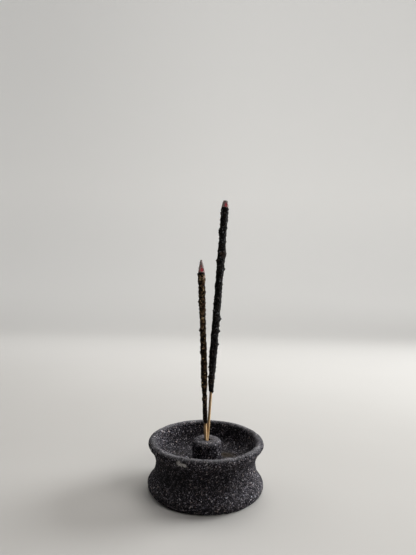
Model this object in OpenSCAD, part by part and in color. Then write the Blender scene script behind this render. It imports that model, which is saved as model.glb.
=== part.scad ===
// Round stone incense burner: a waisted bowl with a socketed boss in the
// middle, and two burning incense sticks standing in its one socket.
// Origin: centre of the foot's flat underside. +Z up, -Y towards the user.

/* [Stone bowl] */
// Outer diameter over the foot and over the rim
bowl_d = 100; // [96:1:104]
// Height from the foot's flat to the crest of the rim
bowl_h = 42; // [41:0.5:44]
// Radius of the rolled edge of the foot
foot_roll_r = 5.1; // [5:0.1:6]
// Height of the centre of the foot's roll above the flat
foot_roll_z = 4.6; // [4.4:0.1:4.9]
// Radius of the rolled outer edge of the rim
rim_roll_r = 3.2; // [2.8:0.1:3.4]
// Radius of the hollow curve round the waist
waist_curve_r = 20.5; // [20:0.5:24]
// Width of the rim from its outer to its inner edge
rim_w = 7.2; // [7:0.1:8]
// Height of the bowl's flat floor
floor_z = 22.5; // [20:0.5:24]
// Radius of the hollow between the floor and the inner wall
floor_fillet_r = 10; // [8:0.5:11]
// How far the inner wall leans in from the rim down to the fillet
wall_lean = 1.6; // [0.8:0.1:2.4]

/* [Boss and socket] */
// Diameter of the boss in the middle of the bowl
boss_d = 25; // [23:0.5:26]
// Height of the boss's flat top above the foot's flat
boss_top_z = 40.7; // [39:0.1:41]
// Radius of the rounded top edge of the boss
boss_round_r = 2.8; // [2:0.1:3.5]
// Radius of the hollow round the bottom of the boss
boss_fillet_r = 2.5; // [2:0.1:3]
// Sideways offset of the hand-cut boss from the bowl's axis
boss_offset = 0.8; // [0:0.1:1.5]
// Diameter of the blind socket that the sticks stand in
socket_d = 5.6; // [5.6:0.1:6]
// Depth of the socket below the boss's top
socket_depth = 14.2; // [14.2:0.1:16]

/* [Sticks] */
// Diameter of the bamboo cores
bamboo_d = 2.4; // [2.2:0.1:2.4]
// Length of bamboo that stands in the socket
inset = 14; // [12:0.1:14]
// Length of the long stick above the boss
long_len = 208.9; // [190:0.1:215]
// Bare bamboo between the boss and the long stick's paste
long_bare = 42; // [38:1:50]
// Largest diameter of the long stick's paste
long_paste_d = 6; // [5.4:0.1:6.2]
// Height of the long stick's burning tip
long_tip_h = 6; // [5:0.5:8]
// Length of the short stick above the boss
short_len = 156.8; // [130:0.1:180]
// Bare bamboo between the boss and the short stick's paste
short_bare = 14.7; // [14:0.1:20]
// Largest diameter of the short stick's paste
short_paste_d = 5.7; // [5.2:0.1:5.8]
// Height of the short stick's burning tip
short_tip_h = 10.8; // [8:0.5:12]
// Resin grains pressed into each stick
grain_count = 46; // [20:1:60]
// Bark flakes pressed into the short stick
flake_count = 30; // [10:1:40]

/* [Hidden] */
$fn = 96;

stone_c  = [0.13, 0.13, 0.15];
bamboo_c = [0.76, 0.60, 0.38];
black_c  = [0.05, 0.05, 0.055];
brown_c  = [0.20, 0.13, 0.08];
amber_c  = [0.55, 0.36, 0.14];
bark_c   = [0.36, 0.22, 0.12];
ember_c  = [0.75, 0.16, 0.14];
ash_c    = [0.62, 0.57, 0.56];

// where each stick's axis crosses the top of the boss, and its slope in x and y
long_at  = [boss_offset + 0.38, 1.12];
long_slope = [0.058, -0.0188];
short_at = [boss_offset - 0.84, -1.2];
short_slope = [-0.044, 0.0135];

// points on an arc, centre c, radius r, from angle a to angle b
function arc(c, r, a, b, n) =
    [for (i = [0:n]) let (t = a + (b - a)*i/n) c + r*[cos(t), sin(t)]];
function ang(v) = atan2(v[1], v[0]);
function pos(a) = a < 0 ? a + 360 : a;

// centre of the waist's curve, which touches the foot's roll and the rim's roll
R = bowl_d/2;
foot_c = [R - foot_roll_r, foot_roll_z];
rim_c  = [R - 0.1 - rim_roll_r, bowl_h - rim_roll_r];
gap_v = rim_c - foot_c;
gap_l = norm(gap_v);
wa = foot_roll_r + waist_curve_r;
wb = rim_roll_r + waist_curve_r;
wx = (wa*wa - wb*wb + gap_l*gap_l)/(2*gap_l);
wh = sqrt(wa*wa - wx*wx);
waist_c = foot_c + gap_v/gap_l*wx + [gap_v[1], -gap_v[0]]/gap_l*wh;

// the rim's inner roll, the leaning inner wall and the floor's hollow
rim_in_r = 3;
rim_in_c = [R - 0.1 - rim_w + rim_in_r, bowl_h - rim_in_r];
wall_top = rim_in_c - [rim_in_r, 0];
fil_c = [wall_top[0] - wall_lean - floor_fillet_r, floor_z + floor_fillet_r];

bowl_profile = concat(
    [[0, 0], [foot_c[0] + sqrt(foot_roll_r*foot_roll_r - foot_roll_z*foot_roll_z), 0]],
    arc(foot_c, foot_roll_r, -asin(foot_roll_z/foot_roll_r) + 3, ang(waist_c - foot_c), 18),
    arc(waist_c, waist_curve_r, pos(ang(foot_c - waist_c)) - 2, pos(ang(rim_c - waist_c)) + 2, 18),
    arc(rim_c, rim_roll_r, ang(waist_c - rim_c) + 2, 90, 12),
    arc(rim_in_c, rim_in_r, 90, 180, 10),
    arc(fil_c, floor_fillet_r, -4, -90, 14),
    [[0, floor_z]]);

boss_profile = concat(
    [[0, floor_z - 2], [boss_d/2 + boss_fillet_r + 0.4, floor_z - 2]],
    arc([boss_d/2 + boss_fillet_r, floor_z + boss_fillet_r - 0.3], boss_fillet_r, 265, 180, 7),
    arc([boss_d/2 - boss_round_r, boss_top_z - boss_round_r], boss_round_r, 0, 90, 9),
    [[0, boss_top_z]]);

// puts local Z, from the boss's top, along a stick's axis
module on_stick(at, slope) {
    translate([at[0], at[1], boss_top_z])
    rotate(a = atan(norm(slope)), v = [-slope[1], slope[0], 0])
    children();
}
module on_long()  { on_stick(long_at, long_slope) children(); }
module on_short() { on_stick(short_at, short_slope) children(); }

module stone_bowl() {
    color(stone_c)
    difference() {
        union() {
            rotate_extrude() polygon(bowl_profile);
            translate([boss_offset, 0, 0]) rotate_extrude() polygon(boss_profile);
        }
        translate([boss_offset, 0, boss_top_z - socket_depth])
            cylinder(d = socket_d, h = socket_depth + 5);
    }
}

// a split bamboo core from the socket's bottom up to the burning tip
module bamboo(top) {
    translate([0, 0, -inset + 0.05]) cylinder(d1 = bamboo_d - 0.3, d2 = bamboo_d, h = 0.6);
    translate([0, 0, -inset + 0.65]) cylinder(d = bamboo_d, h = inset - 0.65 + top);
}

// hand-rolled paste: radius r at height s, thin at the bottom end and lumpy above
function lump(s, k) = 0.13*sin(s*31 + k) + 0.09*sin(s*83 + 2*k) - 0.12;
function grow(s, s0, run, lo, hi) = lo + (hi - lo)*min(1, max(0, (s - s0)/run));
module paste(s0, s1, lo, hi, run, k) {
    step = (s1 - s0)/64;
    rotate_extrude() polygon(concat(
        [[bamboo_d/2, s0], [lo - 0.3, s0]],
        [for (i = [1:63]) let (s = s0 + i*step) [grow(s, s0, run, lo, hi) + lump(s, k), s]],
        [[hi - 0.35, s1], [bamboo_d/2, s1]]));
}

// radius of the paste under a grain
function paste_r(s, s0, run, lo, hi, k) = grow(s, s0, run, lo, hi) + lump(s, k);

// crumbs set round a stick by the golden angle, off the side that faces the other
// stick below height clear_s; face is the direction of the other stick
module crumbs(n, s0, s1, run, lo, hi, k, size, flat, face, clear_s) {
    for (i = [0:n - 1]) {
        s = s0 + 3 + (s1 - s0 - 5)*(i + 0.5)/n;
        a = i*137.5 + k;
        facing = abs(((a - face + 540) % 360) - 180) < 75;
        w = size*(0.75 + 0.5*abs(sin(i*77 + k)));
        if (!(facing && s < clear_s))
            rotate([0, 0, a])
            translate([paste_r(s, s0, run, lo, hi, k) + 0.2, 0, s])
            rotate([i*53, 20*sin(i*41), 25*sin(i*29)])
            cube([w*flat, w, w*1.2], center = true);
    }
}

// a glowing core: straight foot, then a rounded cone
function cone_r(t, r0, r1) = r0 + (r1 - r0)*t*t;
module glow(h, r0, r1) {
    rotate_extrude() polygon(concat([[0, 0]],
        [for (i = [0:10]) [cone_r(i/10, r0, r1), h*i/10]], [[0, h]]));
}

// the crust of ash left standing round the glowing core, open in three places
module crust(h, core_h, r0, r1, wall) {
    difference() {
        rotate_extrude() polygon(concat(
            [for (i = [0:10]) [cone_r(i/10, r0, r1), core_h*i/10]],
            [[0, core_h], [0, h]],
            [for (i = [10:-1:0]) [(i == 10 ? 0.35 : cone_r(i/10, r0, r1) + wall), h*i/10]]));
        for (i = [0:2])
            rotate([0, 0, 255 + 118*i])
            translate([0, 0, core_h*(0.36 + 0.1*i)])
            rotate([0, 90, 0])
            cylinder(d = 1.9, h = 6, $fn = 32);
    }
}

module long_stick_bamboo() { color(bamboo_c) on_long() bamboo(long_len - long_tip_h); }
module long_stick_paste() {
    color(black_c) on_long()
    paste(long_bare, long_len - long_tip_h, 2.05, long_paste_d/2, 14, 20);
}
module long_stick_resin_grains() {
    color(black_c) on_long()
    crumbs(grain_count, long_bare, long_len - long_tip_h, 14, 2.05, long_paste_d/2, 20,
           1.0, 0.8, 180, 95);
}
module long_stick_ember() {
    color(ember_c) on_long() translate([0, 0, long_len - long_tip_h])
    glow(long_tip_h - 1.2, 2.0, 1.1);
}
module long_stick_ash() {
    color(ash_c) on_long() translate([0, 0, long_len - long_tip_h])
    crust(long_tip_h, long_tip_h - 1.2, 2.0, 1.1, 0.55);
}

module short_stick_bamboo() { color(bamboo_c) on_short() bamboo(short_len - short_tip_h); }
module short_stick_paste() {
    color(brown_c) on_short()
    paste(short_bare, short_len - short_tip_h, 1.8, short_paste_d/2, 110, 75);
}
module short_stick_resin_grains() {
    color(amber_c) on_short()
    crumbs(grain_count, short_bare + 14, short_len - short_tip_h, 96, 1.94, short_paste_d/2, 75,
           0.9, 0.8, 0, 95);
}
module short_stick_bark_flakes() {
    color(bark_c) on_short()
    crumbs(flake_count, short_bare + 20, short_len - short_tip_h - 2, 90, 2, short_paste_d/2, 31,
           1.5, 0.35, 0, 95);
}
module short_stick_ember() {
    color(ember_c) on_short() translate([0, 0, short_len - short_tip_h])
    glow(short_tip_h - 3.4, 1.95, 0.8);
}
module short_stick_ash() {
    color(ash_c) on_short() translate([0, 0, short_len - short_tip_h])
    crust(short_tip_h, short_tip_h - 3.4, 1.95, 0.8, 0.5);
}

// a thin spill of ash with a few flakes, on the bowl's floor beside the boss
module fallen_ash() {
    spill_r = 5.2; spill_h = 0.7;
    color(ash_c) translate([18.5, 11.8, floor_z]) {
        rotate_extrude() polygon(concat([[0, 0], [spill_r, 0]],
            [for (i = [1:6]) [spill_r*cos(i*15), 0.08 + (spill_h - 0.08)*sin(i*15)]]));
        for (i = [0:6])
            rotate([0, 0, 33 + (i - 3)*32]) translate([5.7 + 0.3*(i%2), 0, 0])
            rotate([0, 0, i*37 - 90])
            cube([1 + 0.2*(i%3), 0.9, 0.4 + 0.1*(i%2)]);
    }
}

stone_bowl();
long_stick_bamboo();
long_stick_paste();
long_stick_resin_grains();
long_stick_ember();
long_stick_ash();
short_stick_bamboo();
short_stick_paste();
short_stick_resin_grains();
short_stick_bark_flakes();
short_stick_ember();
short_stick_ash();
fallen_ash();
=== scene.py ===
"""Looks of the round stone incense burner with two burning sticks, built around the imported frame."""
import math

import bpy
import bmesh
import numpy as np
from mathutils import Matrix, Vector


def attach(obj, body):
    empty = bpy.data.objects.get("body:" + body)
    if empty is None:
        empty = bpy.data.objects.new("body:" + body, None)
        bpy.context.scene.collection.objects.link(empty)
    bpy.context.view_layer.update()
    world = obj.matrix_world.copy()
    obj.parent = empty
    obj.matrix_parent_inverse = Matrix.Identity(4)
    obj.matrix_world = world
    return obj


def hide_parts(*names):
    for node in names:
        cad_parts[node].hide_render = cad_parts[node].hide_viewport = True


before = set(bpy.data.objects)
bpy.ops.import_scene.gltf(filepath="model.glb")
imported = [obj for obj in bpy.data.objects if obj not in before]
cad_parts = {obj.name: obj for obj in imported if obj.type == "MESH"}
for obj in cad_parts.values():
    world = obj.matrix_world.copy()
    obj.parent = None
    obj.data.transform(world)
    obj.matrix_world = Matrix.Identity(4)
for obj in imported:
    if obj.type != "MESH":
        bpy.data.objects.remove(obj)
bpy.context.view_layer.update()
MM = 0.001

# ---------------------------------------------------------------- noise


def hash01(ix, iy, iz, seed):
    """A number from 0 to 1 for each cell of a grid."""
    with np.errstate(over="ignore"):
        h = (
            ix.astype(np.int64).astype(np.uint32) * np.uint32(374761393)
            + iy.astype(np.int64).astype(np.uint32) * np.uint32(668265263)
            + iz.astype(np.int64).astype(np.uint32) * np.uint32(2246822519)
            + np.uint32((seed * 3266489917) & 0xFFFFFFFF)
        )
        h = (h ^ (h >> np.uint32(15))) * np.uint32(2246822519)
        h = (h ^ (h >> np.uint32(13))) * np.uint32(3266489917)
        h = h ^ (h >> np.uint32(16))
    return h.astype(np.float64) / 4294967295.0


def noise(p, scale, seed):
    """Smooth value noise, about -1 to 1, features scale mm apart."""
    q = np.asarray(p, float) / scale
    i = np.floor(q).astype(np.int64)
    f = q - i
    u = f * f * f * (f * (f * 6 - 15) + 10)
    out = np.zeros(len(q))
    for dx in (0, 1):
        wx = u[:, 0] if dx else 1 - u[:, 0]
        for dy in (0, 1):
            wy = u[:, 1] if dy else 1 - u[:, 1]
            for dz in (0, 1):
                wz = u[:, 2] if dz else 1 - u[:, 2]
                out += wx * wy * wz * hash01(i[:, 0] + dx, i[:, 1] + dy, i[:, 2] + dz, seed)
    return out * 2 - 1


def fbm(p, scale, seed, octaves=3, gain=0.5):
    out = np.zeros(len(p))
    amp = 1.0
    for k in range(octaves):
        out += amp * noise(p, scale, seed + 17 * k)
        scale /= 2.03
        amp *= gain
    return out


def cells(p, scale, seed):
    """Worley noise: distance to the nearest point over scale, the gap to the second, and the nearest cell's own number."""
    q = np.asarray(p, float) / scale
    i = np.floor(q).astype(np.int64)
    f1 = np.full(len(q), 9.0)
    f2 = np.full(len(q), 9.0)
    own = np.zeros(len(q))
    for dx in (-1, 0, 1):
        for dy in (-1, 0, 1):
            for dz in (-1, 0, 1):
                cx, cy, cz = i[:, 0] + dx, i[:, 1] + dy, i[:, 2] + dz
                fx = cx + hash01(cx, cy, cz, seed)
                fy = cy + hash01(cx, cy, cz, seed + 1)
                fz = cz + hash01(cx, cy, cz, seed + 2)
                d = np.sqrt((fx - q[:, 0]) ** 2 + (fy - q[:, 1]) ** 2 + (fz - q[:, 2]) ** 2)
                near = d < f1
                f2 = np.where(near, f1, np.minimum(f2, d))
                own = np.where(near, hash01(cx, cy, cz, seed + 3), own)
                f1 = np.where(near, d, f1)
    return f1, f2 - f1, own


def step(a, b, x):
    t = np.clip((x - a) / (b - a), 0, 1)
    return t * t * (3 - 2 * t)


# ---------------------------------------------------------------- meshes


def volume(V, F):
    """Signed volume of a closed mesh of tris and quads."""
    total = 0.0
    for f in F:
        a = V[f[0]]
        for k in range(1, len(f) - 1):
            total += float(np.dot(a, np.cross(V[f[k]], V[f[k + 1]])))
    return total / 6


def make_piece(name, V, F, body, nodes, material, attrs=None, smooth=True, flip=None):
    V = np.asarray(V, float)
    if flip is None:
        flip = volume(V, F) < 0
    if flip:
        F = [tuple(reversed(f)) for f in F]
    me = bpy.data.meshes.new(name)
    me.from_pydata((V * MM).tolist(), [], F)
    for key, val in (attrs or {}).items():
        a = me.attributes.new(key, "FLOAT", "POINT")
        a.data.foreach_set("value", np.asarray(val, np.float32))
    me.materials.append(material)
    me.polygons.foreach_set("use_smooth", [bool(smooth)] * len(me.polygons))
    me.update()
    ob = bpy.data.objects.new(name, me)
    bpy.context.scene.collection.objects.link(ob)
    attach(ob, body)
    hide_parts(*nodes)
    return ob


def join_rings(counts, starts, F):
    """Faces between rings in order; neighbours have equal counts or one has twice the other's."""
    for k in range(len(counts) - 1):
        n, m, a, b = counts[k], counts[k + 1], starts[k], starts[k + 1]
        if n == m:
            for j in range(n):
                j2 = (j + 1) % n
                F.append((a + j, a + j2, b + j2, b + j))
        elif n == 2 * m:
            for j in range(m):
                a0, a1, a2 = a + 2 * j, a + 2 * j + 1, a + (2 * j + 2) % n
                b0, b1 = b + j, b + (j + 1) % m
                F += [(a0, a1, b0), (a1, b1, b0), (a1, a2, b1)]
        elif m == 2 * n:
            for j in range(n):
                b0, b1, b2 = b + 2 * j, b + 2 * j + 1, b + (2 * j + 2) % m
                a0, a1 = a + j, a + (j + 1) % n
                F += [(a0, b1, b0), (a0, a1, b1), (a1, b2, b1)]


def arc(c, r, a0, a1, n):
    t = np.radians(np.linspace(a0, a1, n + 1))
    return np.c_[c[0] + r * np.cos(t), c[1] + r * np.sin(t)]


def ang(v):
    return math.degrees(math.atan2(v[1], v[0]))


def resample(pts, spacing):
    """The same polyline with points evenly spaced along it, its last point left out."""
    d = np.r_[0, np.cumsum(np.hypot(*np.diff(pts, axis=0).T))]
    n = max(1, int(round(d[-1] / spacing)))
    s = np.linspace(0, d[-1], n + 1)[:-1]
    return np.c_[np.interp(s, d, pts[:, 0]), np.interp(s, d, pts[:, 1])]


# ---------------------------------------------------------------- materials


class Mat:
    """A small helper to wire a procedural material."""

    def __init__(self, name):
        self.m = bpy.data.materials.new(name)
        self.m.use_nodes = True
        self.t = self.m.node_tree
        self.b = self.t.nodes["Principled BSDF"]
        tc = self.node("ShaderNodeTexCoord")
        self.obj = tc.outputs["Object"]

    def node(self, kind, **props):
        n = self.t.nodes.new(kind)
        for k, v in props.items():
            setattr(n, k, v)
        return n

    def link(self, a, b):
        self.t.links.new(a, b)

    def stretch(self, sx, sy, sz, at=(0, 0, 0)):
        n = self.node("ShaderNodeMapping")
        n.inputs["Scale"].default_value = (sx, sy, sz)
        n.inputs["Location"].default_value = at
        self.link(self.obj, n.inputs["Vector"])
        return n.outputs["Vector"]

    def noise(self, scale, detail=4.0, rough=0.55, vec=None, distortion=0.0):
        n = self.node("ShaderNodeTexNoise")
        n.inputs["Scale"].default_value = scale
        n.inputs["Detail"].default_value = detail
        n.inputs["Roughness"].default_value = rough
        n.inputs["Distortion"].default_value = distortion
        self.link(vec if vec is not None else self.obj, n.inputs["Vector"])
        return n.outputs["Fac"]

    def cell(self, scale, vec=None, feature="F1", randomness=1.0, out="Color"):
        n = self.node("ShaderNodeTexVoronoi", feature=feature)
        n.inputs["Scale"].default_value = scale
        n.inputs["Randomness"].default_value = randomness
        self.link(vec if vec is not None else self.obj, n.inputs["Vector"])
        if out == "Color":
            s = self.node("ShaderNodeSeparateColor")
            self.link(n.outputs["Color"], s.inputs["Color"])
            return s.outputs["Red"], s.outputs["Green"], n.outputs["Distance"]
        return n.outputs[out]

    def ramp(self, fac, stops, mode="LINEAR"):
        n = self.node("ShaderNodeValToRGB")
        e = n.color_ramp
        e.interpolation = mode
        while len(e.elements) < len(stops):
            e.elements.new(0.5)
        for el, (pos, col) in zip(e.elements, stops):
            el.position = pos
            el.color = (col[0], col[1], col[2], 1) if hasattr(col, "__len__") else (col, col, col, 1)
        self.link(fac, n.inputs["Fac"])
        return n.outputs["Color"]

    def attr(self, name):
        n = self.node("ShaderNodeAttribute", attribute_name=name)
        return n.outputs["Fac"]

    def math(self, op, a, b=None, c=None, clamp=False):
        n = self.node("ShaderNodeMath", operation=op, use_clamp=clamp)
        for i, v in enumerate((a, b, c)):
            if v is None:
                continue
            if isinstance(v, (int, float)):
                n.inputs[i].default_value = v
            else:
                self.link(v, n.inputs[i])
        return n.outputs[0]

    def mix(self, fac, a, b, blend="MIX"):
        n = self.node("ShaderNodeMix", data_type="RGBA", blend_type=blend)
        for sock, v in ((n.inputs[0], fac), (n.inputs[6], a), (n.inputs[7], b)):
            if isinstance(v, (int, float)):
                sock.default_value = v
            elif isinstance(v, tuple):
                sock.default_value = (*v, 1)
            else:
                self.link(v, sock)
        return n.outputs[2]

    def bump(self, height, strength, distance, normal=None):
        n = self.node("ShaderNodeBump")
        n.inputs["Strength"].default_value = strength
        n.inputs["Distance"].default_value = distance
        self.link(height, n.inputs["Height"])
        if normal is not None:
            self.link(normal, n.inputs["Normal"])
        return n.outputs["Normal"]

    def set(self, **kw):
        for k, v in kw.items():
            sock = self.b.inputs[k.replace("_", " ")]
            if isinstance(v, (int, float)):
                sock.default_value = v
            elif isinstance(v, tuple):
                sock.default_value = (*v, 1) if len(v) == 3 and sock.type == "RGBA" else v
            else:
                self.link(v, sock)
        return self.m


def stone_material():
    m = Mat("speckled_stone")
    r1, g1, d1 = m.cell(1120)
    r2, g2, d2 = m.cell(1900)
    clump = m.noise(420, 3, 0.6)
    # mineral grains: each cell takes one of a few shades
    coarse = m.ramp(
        r1,
        [(0.0, (0.0017, 0.0015, 0.0030)), (0.44, (0.0042, 0.0038, 0.0062)), (0.62, (0.023, 0.0215, 0.027)),
         (0.75, (0.085, 0.079, 0.087)), (0.88, (0.23, 0.218, 0.23)), (0.965, (0.52, 0.50, 0.50))],
        "CONSTANT",
    )
    fine = m.ramp(
        r2,
        [(0.0, (0.0016, 0.0014, 0.0027)), (0.50, (0.0056, 0.0051, 0.0080)), (0.70, (0.044, 0.0425, 0.049)),
         (0.88, (0.21, 0.20, 0.21))],
        "CONSTANT",
    )
    warm = m.ramp(g1, [(0.0, (1.0, 0.97, 1.02)), (0.55, (1.0, 0.98, 1.0)), (0.80, (1.10, 0.94, 0.86)), (0.93, (0.92, 0.97, 1.12))], "CONSTANT")
    base = m.mix(m.ramp(clump, [(0.44, 0.08), (0.56, 0.92)]), fine, coarse)
    base = m.mix(1.0, base, warm, "MULTIPLY")
    # stone dust on worn edges and on the floor, with painted top light; painted shade on the waist; and the scraped
    # chip
    dust_and_painted_light = m.math("MULTIPLY", m.attr("dust_and_painted_light"), m.ramp(m.noise(1350, 3, 0.7), [(0.38, 0.12), (0.60, 1.0)]), clamp=True)
    # painted shade: the shade attribute pulls the waist towards near-black
    base = m.mix(m.attr("shade"), base, (0.0030, 0.0026, 0.0034))
    base = m.mix(dust_and_painted_light, base, (0.262, 0.258, 0.268))
    scar = m.math("MULTIPLY", m.attr("scar"), m.ramp(m.noise(1300, 2, 0.6), [(0.36, 0.2), (0.55, 1.0)]), clamp=True)
    base = m.mix(scar, base, (0.62, 0.60, 0.58))
    ash = m.math("MULTIPLY", m.attr("ash_dust"), m.ramp(m.noise(700, 4, 0.7), [(0.42, 0.0), (0.62, 1.0)]), clamp=True)
    base = m.mix(ash, base, (0.080, 0.068, 0.054))
    rough = m.ramp(m.noise(1500, 2, 0.6), [(0.3, 0.72), (0.7, 0.95)])
    h = m.math("ADD", m.math("MULTIPLY", m.noise(1500, 5, 0.7), 0.7), m.math("MULTIPLY", d1, 0.35))
    n1 = m.bump(h, 0.85, 0.00045)
    return m.set(Base_Color=base, Roughness=rough, Normal=n1, Specular_IOR_Level=0.05)


def paste_material(name, dark, mid, gold, amount, tints):
    """Rolled paste: powder and crumbs of several colours; tints are amounts of brown by height attribute."""
    m = Mat(name)
    r1, g1, d1 = m.cell(1100)
    r2, g2, d2 = m.cell(2100)
    speck = m.ramp(r1, [(0.0, dark), (0.50, tuple(x * 1.5 for x in dark)), (0.72, tuple(x * 0.55 for x in mid)), (0.90, mid)], "CONSTANT")
    flecks = m.ramp(r2, [(0.0, dark), (0.62, tuple(x * 2.0 for x in dark)), (0.86, mid), (0.96, gold)], "CONSTANT")
    base = m.mix(m.ramp(m.noise(520, 3, 0.6), [(0.42, 0.15), (0.60, 0.9)]), speck, flecks)
    zone = m.math("MULTIPLY", m.attr("herb"), m.ramp(m.noise(330, 4, 0.6), [(0.46, 0.0), (0.56, 1.0)]), clamp=True)
    herb = m.ramp(g1, [(0.0, tints[0]), (0.45, tints[1]), (0.78, tints[2])], "CONSTANT")
    base = m.mix(zone, base, herb)
    char = m.attr("char")
    base = m.mix(char, base, (0.012, 0.011, 0.012))
    rough = m.ramp(m.noise(1800, 2, 0.6), [(0.3, 0.55), (0.7, 0.92)])
    h = m.math("ADD", m.math("MULTIPLY", m.noise(1900, 5, 0.7), 0.8), m.math("MULTIPLY", d2, 0.5))
    return m.set(Base_Color=base, Roughness=rough, Normal=m.bump(h, 0.8, 0.0004), Specular_IOR_Level=amount)


def crumb_material(name, shades, spec, rough_lo, rough_hi):
    """Crumbs: each crumb's own shade, from the tint attribute, mottled inside."""
    m = Mat(name)
    stops = [(i / len(shades), c) for i, c in enumerate(shades)]
    base = m.ramp(m.attr("tint"), stops, "CONSTANT")
    mott = m.ramp(m.noise(2600, 4, 0.7), [(0.32, 0.45), (0.68, 1.35)])
    base = m.mix(1.0, base, mott, "MULTIPLY")
    rough = m.ramp(m.noise(2200, 2, 0.5), [(0.3, rough_lo), (0.7, rough_hi)])
    return m.set(Base_Color=base, Roughness=rough, Normal=m.bump(m.noise(3200, 4, 0.7), 0.6, 0.0002), Specular_IOR_Level=spec)


def bamboo_material():
    m = Mat("split_bamboo")
    fib = m.noise(1.0, 3, 0.6, vec=m.stretch(2600, 2600, 90))
    fine = m.noise(1.0, 2, 0.6, vec=m.stretch(6500, 6500, 160, (3, 1, 0)))
    base = m.ramp(fib, [(0.28, (0.34, 0.185, 0.075)), (0.42, (0.58, 0.37, 0.165)), (0.58, (0.76, 0.53, 0.275)), (0.74, (0.86, 0.68, 0.42))])
    base = m.mix(m.ramp(fine, [(0.40, 0.45), (0.56, 0.0)]), base, (0.27, 0.135, 0.055))
    # brown stain toward the paste; its extra depth on the left-front side is painted shade
    stain_and_shade = m.math("MULTIPLY", m.attr("stain_and_shade"), m.ramp(m.noise(1.0, 3, 0.6, vec=m.stretch(900, 900, 60)), [(0.30, 0.55), (0.62, 1.0)]), clamp=True)
    base = m.mix(stain_and_shade, base, (0.20, 0.098, 0.045))
    base = m.mix(m.attr("char"), base, (0.018, 0.014, 0.012))
    h = m.math("ADD", fib, m.math("MULTIPLY", fine, 0.6))
    return m.set(Base_Color=base, Roughness=m.ramp(fine, [(0.3, 0.42), (0.7, 0.62)]), Normal=m.bump(h, 0.45, 0.00012), Specular_IOR_Level=0.4)


def ember_material():
    m = Mat("glowing_ember")
    heat = m.ramp(m.noise(760, 3, 0.6), [(0.30, 0.15), (0.52, 1.0)])
    heat = m.math("MULTIPLY", heat, m.attr("ember_heat"), clamp=True)
    base = m.mix(heat, (0.040, 0.020, 0.020), (0.30, 0.030, 0.040))
    grey = m.ramp(m.noise(1600, 3, 0.6), [(0.46, 0.0), (0.62, 0.7)])
    base = m.mix(grey, base, (0.42, 0.30, 0.29))
    glow = m.mix(heat, (0.0, 0.0, 0.0), (1.0, 0.075, 0.13))
    return m.set(Base_Color=base, Roughness=0.9, Emission_Color=glow, Emission_Strength=0.135, Normal=m.bump(m.noise(2200, 4, 0.7), 0.7, 0.0003), Specular_IOR_Level=0.2)


def ash_material(name, light, grey, dark, warm=(0.22, 0.12, 0.11)):
    m = Mat(name)
    n = m.noise(1100, 5, 0.65)
    base = m.ramp(n, [(0.28, dark), (0.46, grey), (0.64, light)])
    base = m.mix(m.math("MULTIPLY", m.attr("warm"), m.ramp(m.noise(1500, 3, 0.6), [(0.40, 0.2), (0.6, 1.0)]), clamp=True), base, warm)
    base = m.mix(m.ramp(m.cell(2400)[0], [(0.0, 0.0), (0.86, 0.7)], "CONSTANT"), base, dark)
    return m.set(Base_Color=base, Roughness=0.95, Normal=m.bump(m.noise(2600, 5, 0.75), 0.8, 0.0003), Specular_IOR_Level=0.15)


# ---------------------------------------------------------------- the carved stone bowl

R, BOWL_H = 50.0, 42.0
FOOT_R, FOOT_Z = 5.1, 4.6
RIM_R, RIM_W, RIM_IN = 3.2, 7.2, 3.0
WAIST = 20.5
FLOOR_Z, FIL_R, LEAN = 22.5, 10.0, 1.6
BOSS_R, BOSS_TOP, BOSS_ROUND, BOSS_FIL, BOSS_X = 12.5, 40.7, 2.8, 2.5, 0.8
SOCKET_R, SOCKET_D = 2.8, 14.2

foot_c = np.array([R - FOOT_R, FOOT_Z])
rim_c = np.array([R - 0.1 - RIM_R, BOWL_H - RIM_R])
gv = rim_c - foot_c
gl = float(np.hypot(*gv))
wa, wb = FOOT_R + WAIST, RIM_R + WAIST
wx = (wa * wa - wb * wb + gl * gl) / (2 * gl)
wh = math.sqrt(wa * wa - wx * wx)
waist_c = foot_c + gv / gl * wx + np.array([gv[1], -gv[0]]) / gl * wh
rim_in_c = np.array([R - 0.1 - RIM_W + RIM_IN, BOWL_H - RIM_IN])
wall_top = rim_in_c - np.array([RIM_IN, 0])
fil_c = np.array([wall_top[0] - LEAN - FIL_R, FLOOR_Z + FIL_R])


def up(a):
    return a + 360 if a < 0 else a


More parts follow.
